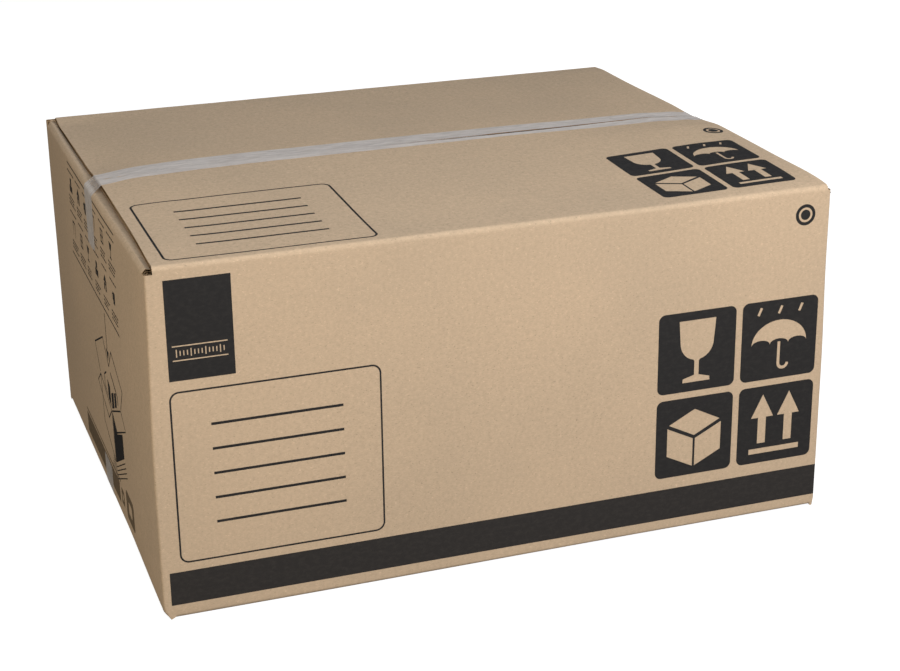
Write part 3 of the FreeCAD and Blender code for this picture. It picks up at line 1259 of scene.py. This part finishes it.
def makeTape(name, node, legEnd, sign, centreAt, halfAt, seat, stepZ, flapZ):
    cuts = carton["longCuts"]
    left, leftX = tapePath(legEnd, stepZ, flapZ, sign, cuts["frontLeft"][1])
    right, rightX = tapePath(legEnd, stepZ, flapZ, sign, cuts["frontRight"][1])
    across = taping["across"]
    topSteps = stepsFor(leftX + rightX) * 2
    # which leg, and its station; on the flap no leg, and x alone
    stations = [(-1, station) for station in left]
    stations += [(0, ((leftX + rightX) * i / topSteps - leftX, None)) for i in range(topSteps + 1)]
    stations += [(1, station) for station in reversed(right)]
    lower, upper = [], []
    for side, station in stations:
        x = side * abs(station[0]) if side else station[0]
        centre, half = centreAt(x), halfAt(x, station[1])
        for k in range(across + 1):
            y = centre + half * (2 * k / across - 1)
            if side:
                _, z, at, overStep = station
                fall = (seat(-leftX if side < 0 else rightX, y)[0].z - flapZ) * overStep
                facing = Vector((side * -math.cos(at), 0, sign * math.sin(at)))
                place = Vector((x, y, z + fall))
                if z == legEnd:
                    place.z += sign * taping["torn"] * noise.noise(Vector((side * 3.1, k * 0.9, 0.4)))
            else:
                place, facing = seat(x, y)
            base = place if side and station[3] > 0 else settled(place, facing)
            lift = film["lift"]
            if sign > 0:
                lift += taping["pucker"] * (1 + noise.noise(Vector((x * 60, y * 300, place.z * 60))))
            lower.append(base + facing * lift)
            upper.append(base + facing * (lift + film["thickness"]))
    faces = []
    for i in range(len(stations) - 1):
        for a in range(i * (across + 1), i * (across + 1) + across):
            face = (a, a + across + 1, a + across + 2, a + 1)
            faces.append(face if sign > 0 else face[::-1])
    piece = closeSlab(name, upper, lower, faces, clearTape)
    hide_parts(node)
    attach(piece, "root")


def topTapeHalf(x, z):
    height, waves = taping["uneven"]
    half = taping["half"] + height * noise.noise(Vector((x * waves, 0.3, 0.7)))
    if z is not None and z < wallHigh:
        narrower, run = taping["narrows"]
        half -= narrower * smooth((wallHigh - z) / run)
    return half


def onFloor(x, y):
    return Vector((x, y, carton["underside"])), Vector((0, 0, -1))


makeTape("topTape", "top_tape", tapeLow.z - taping["legEnds"]["top"], 1, wanderAt, topTapeHalf, onTop,
         foldHeight - board - carton["lapGap"], topFlapZ(-0.292, 0))
floorTapeMiddle = (floorTapeLow.y + floorTapeHigh.y) / 2
makeTape("floorTape", "bottom_tape", floorTapeHigh.z - taping["legEnds"]["floor"], -1,
         lambda x: floorTapeMiddle, lambda x, z: taping["half"], onFloor, wallLow - carton["shortFold"],
         carton["underside"])
print("tapes laid")

# Studio: white floor and surroundings, a large soft key in front, warm fill from the left,
# cool light from above

studio = {
    "worldLight": 0.20,
    "worldTone": (0.97, 0.99, 1.02, 1.0),
    # place, size, watts, colour
    "lamps": {
        "keyLight": ((0.55, -1.5, 1.05), 0.8, 23.0, (1.0, 0.996, 0.975)),
        "leftFill": ((-1.6, -1.1, 0.75), 0.8, 13.0, (1.0, 0.905, 0.72)),
        "overhead": ((-0.1, -0.3, 2.2), 1.2, 7.2, (0.74, 0.88, 1.0)),
        "backFill": ((1.7, 1.9, 0.42), 0.9, 15.0, (1.0, 0.99, 0.97)),
    },
    "aim": (0, 0, 0.15),
    "floorHalf": 6.0,
    "floorTone": 0.12,
    "floorShown": 0.30,        # the floor as the camera sees it, so it keeps the carton's shadow
    "floorGlow": 0.925,
}


def seenRays(owner):
    # 1 for what the camera sees, also through the tape
    rays = addNode(owner, "ShaderNodeLightPath").outputs
    return mathNode(owner, "MAXIMUM", rays["Is Camera Ray"], rays["Is Transmission Ray"])


def makeFloor():
    material = cleared(bpy.data.materials.new("studioFloor"))
    seen = seenRays(material)
    tone = mixColor(material, "MIX", seen, grey(studio["floorTone"]), grey(studio["floorShown"]))
    diffuse = addNode(material, "ShaderNodeBsdfDiffuse", Color=tone)
    glowing = times(material, seen, studio["floorGlow"])
    glow = addNode(material, "ShaderNodeEmission", Color=grey(1.0), Strength=glowing)
    both = addNode(material, "ShaderNodeAddShader")
    feed(material, both.inputs[0], diffuse.outputs["BSDF"])
    feed(material, both.inputs[1], glow.outputs["Emission"])
    setSurface(material, both.outputs["Shader"])
    half = studio["floorHalf"]
    corners = [(-half, -half, 0), (half, -half, 0), (half, half, 0), (-half, half, 0)]
    showMesh("studioFloor", corners, [(0, 1, 2, 3)], [material])


def makeWorld():
    world = cleared(bpy.data.worlds.new("studioWorld"))
    bpy.context.scene.world = world
    seen = seenRays(world)
    strength = mapRange(world, seen, (0.0, 1.0), (studio["worldLight"], 1.0))
    color = mixColor(world, "MIX", seen, studio["worldTone"], grey(1.0))
    background = addNode(world, "ShaderNodeBackground", Color=color, Strength=strength)
    setSurface(world, background.outputs["Background"], "ShaderNodeOutputWorld")


def softLight(name, place, size, power, color):
    lamp = bpy.data.lights.new(name, "AREA")
    lamp.shape = "SQUARE"
    lamp.size = size
    lamp.energy = power
    lamp.color = color
    holder = bpy.data.objects.new(name, lamp)
    holder.visible_glossy = name != "backFill"    # it would glare along the tape
    holder.location = place
    aim = Vector(studio["aim"]) - Vector(place)
    holder.rotation_euler = aim.to_track_quat("-Z", "Y").to_euler()
    bpy.context.scene.collection.objects.link(holder)


makeFloor()
makeWorld()
for name, lamp in studio["lamps"].items():
    softLight(name, *lamp)

# The photograph's camera, solved from the carton's edges

view = {
    "place": (-0.531532, -1.625340, 0.771874),
    "azimuthDeg": -19.2554,
    "elevationDeg": 20.8849,
    "rollDeg": -0.7407,
    "focalPixels": 1900.74,
    "imageWidth": 900,
    "sensor": 36.0,
}


def makeCamera():
    azimuth = math.radians(view["azimuthDeg"])
    elevation = math.radians(view["elevationDeg"])
    level = math.cos(elevation)
    back = Vector((math.sin(azimuth) * level, -math.cos(azimuth) * level, math.sin(elevation)))
    right = (-back).cross(Vector((0, 0, 1))).normalized()
    up = right.cross(-back)
    rotation = Matrix((right, up, back)).transposed().to_4x4()
    rotation = rotation @ Matrix.Rotation(math.radians(view["rollDeg"]), 4, "Z")
    lens = bpy.data.cameras.new("camera")
    lens.sensor_width = view["sensor"]
    lens.lens = view["focalPixels"] * view["sensor"] / view["imageWidth"]
    holder = bpy.data.objects.new("camera", lens)
    holder.matrix_world = Matrix.Translation(view["place"]) @ rotation
    bpy.context.scene.collection.objects.link(holder)
    bpy.context.scene.camera = holder


makeCamera()
bpy.context.scene.view_settings.view_transform = "Standard"
print("studio set")
